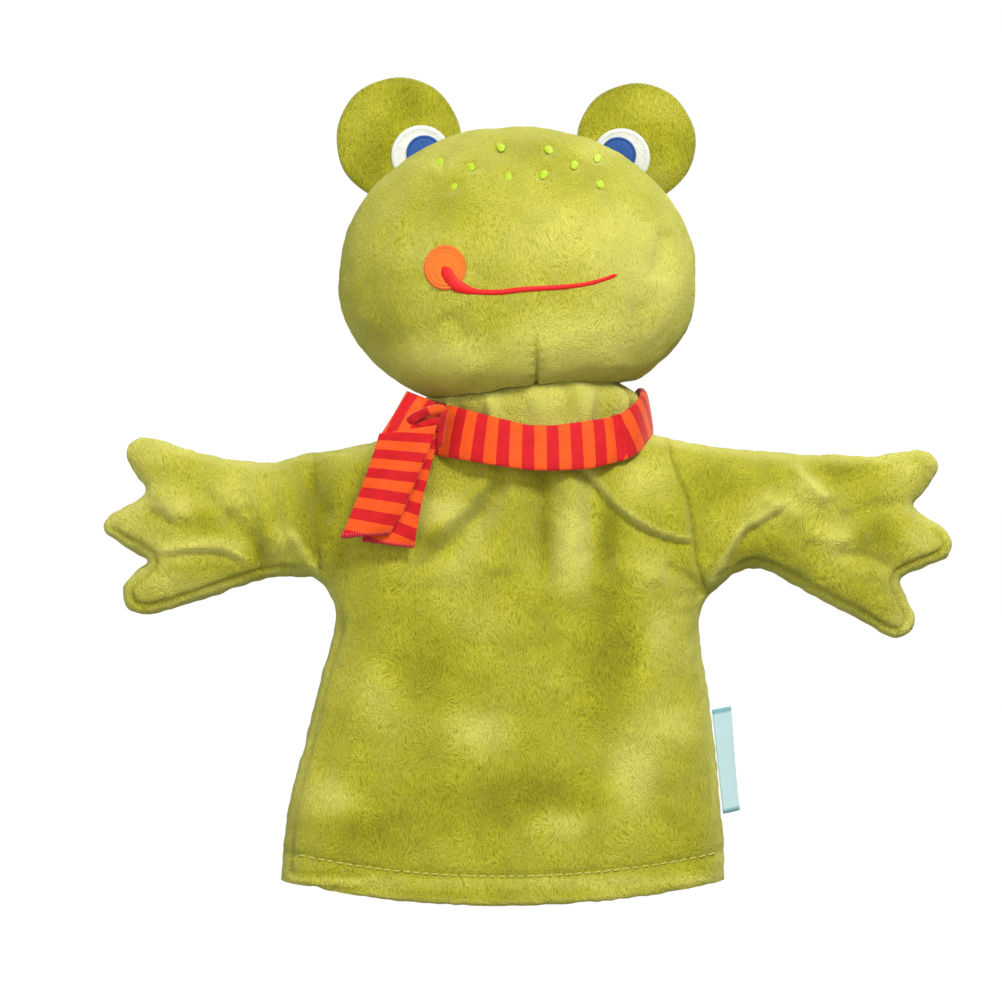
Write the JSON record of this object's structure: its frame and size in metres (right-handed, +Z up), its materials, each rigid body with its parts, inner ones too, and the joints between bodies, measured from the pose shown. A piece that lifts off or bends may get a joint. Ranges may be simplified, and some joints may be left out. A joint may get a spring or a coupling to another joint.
{
  "type": "frog glove puppet",
  "caption": "Plush frog glove puppet: stuffed head with a finger pocket, flat round ears, three-fingered hands, striped knotted scarf and an open hem for the hand.",
  "frame": {"origin": "under the finger pocket's axis, at the lowest point of the hem, in the middle of the hand opening", "axes": "+Z up through the head, -Y the way the face looks, +X towards the puppet's own left hand"},
  "size_m": [0.2771, 0.0776, 0.2699],
  "materials": {
    "plush": "short-pile olive-lime plush, soft sheen",
    "filling": "white polyester fibre filling",
    "white_felt": "matte white felt",
    "blue_embroidery": "blue satin-stitched iris",
    "green_thread": "green sewing thread",
    "scarf_jersey": "red and orange striped jersey",
    "pocket_lining": "green knitted lining",
    "orange_felt": "matte orange felt",
    "red_thread": "red satin stitch",
    "lime_thread": "bright lime satin stitch",
    "label_ribbon": "woven pale aqua ribbon"
  },
  "bodies": {
    "torso": {"torso_front_panel": "plush", "torso_back_panel": "plush", "hem_stitching": "green_thread", "scarf_band": "scarf_jersey", "scarf_knot": "scarf_jersey"},
    "neck": {"neck_gather": "plush"},
    "head": {"face_panel": "plush", "head_back_panel": "plush", "head_stuffing": "filling", "finger_pocket": "pocket_lining", "cheek_patch": "orange_felt", "mouth_embroidery": "red_thread", "forehead_spots": "lime_thread"},
    "right_ear": {"right_ear_front": "plush", "right_ear_back": "plush", "right_ear_wadding": "filling", "right_eye_white": "white_felt", "right_eye_blue": "blue_embroidery"},
    "right_sleeve": {"right_sleeve_front": "plush", "right_sleeve_back": "plush"},
    "right_hand": {"right_hand_front": "plush", "right_hand_back": "plush"},
    "left_ear": {"left_ear_front": "plush", "left_ear_back": "plush", "left_ear_wadding": "filling", "left_eye_white": "white_felt", "left_eye_blue": "blue_embroidery"},
    "left_sleeve": {"left_sleeve_front": "plush", "left_sleeve_back": "plush"},
    "left_hand": {"left_hand_front": "plush", "left_hand_back": "plush"},
    "scarf_front_tail": {"scarf_front_tail": "scarf_jersey"},
    "scarf_back_tail": {"scarf_back_tail": "scarf_jersey"},
    "label": {"side_label": "label_ribbon"}
  },
  "joints": [
    {"name": "head_turn", "type": "hinge", "parent": "torso", "child": "neck", "pos_m": [0, 0, 0.152], "axis": [0, 0, 1], "range_deg": [-45, 45]},
    {"name": "head_nod", "type": "hinge", "parent": "neck", "child": "head", "pos_m": [0, 0, 0.158], "axis": [1, 0, 0], "range_deg": [-15, 22]},
    {"name": "right_ear_fold", "type": "hinge", "parent": "head", "child": "right_ear", "pos_m": [-0.03185, 0.02, 0.23878], "axis": [0.8331, 0, 0.5531], "range_deg": [-50, 18], "stiffness_Nm_per_rad": 0.004},
    {"name": "left_ear_fold", "type": "hinge", "parent": "head", "child": "left_ear", "pos_m": [0.03239, 0.02, 0.23842], "axis": [0.826, 0, -0.5637], "range_deg": [-50, 18], "stiffness_Nm_per_rad": 0.004},
    {"name": "right_shoulder_raise", "type": "hinge", "parent": "torso", "child": "right_sleeve", "pos_m": [-0.059, 0, 0.127], "axis": [0, 1, 0], "range_deg": [-30, 35]},
    {"name": "left_shoulder_raise", "type": "hinge", "parent": "torso", "child": "left_sleeve", "pos_m": [0.059, 0, 0.127], "axis": [0, -1, 0], "range_deg": [-30, 35]},
    {"name": "right_hand_flap", "type": "hinge", "parent": "right_sleeve", "child": "right_hand", "pos_m": [-0.092, 0, 0.125], "axis": [0, 0, 1], "range_deg": [-40, 50]},
    {"name": "left_hand_flap", "type": "hinge", "parent": "left_sleeve", "child": "left_hand", "pos_m": [0.092, 0, 0.125], "axis": [0, 0, -1], "range_deg": [-40, 50]},
    {"name": "scarf_front_tail_swing", "type": "hinge", "parent": "torso", "child": "scarf_front_tail", "pos_m": [-0.03, -0.0294, 0.155], "axis": [0, 1, 0], "range_deg": [-15, 25]},
    {"name": "scarf_back_tail_swing", "type": "hinge", "parent": "torso", "child": "scarf_back_tail", "pos_m": [-0.03, -0.0268, 0.155], "axis": [0, 1, 0], "range_deg": [-20, 20]},
    {"name": "label_flap", "type": "hinge", "parent": "torso", "child": "label", "pos_m": [0.0682, 0, 0.0294], "axis": [-0.1053, 0, 0.9944], "range_deg": [-100, 30]}
  ]
}
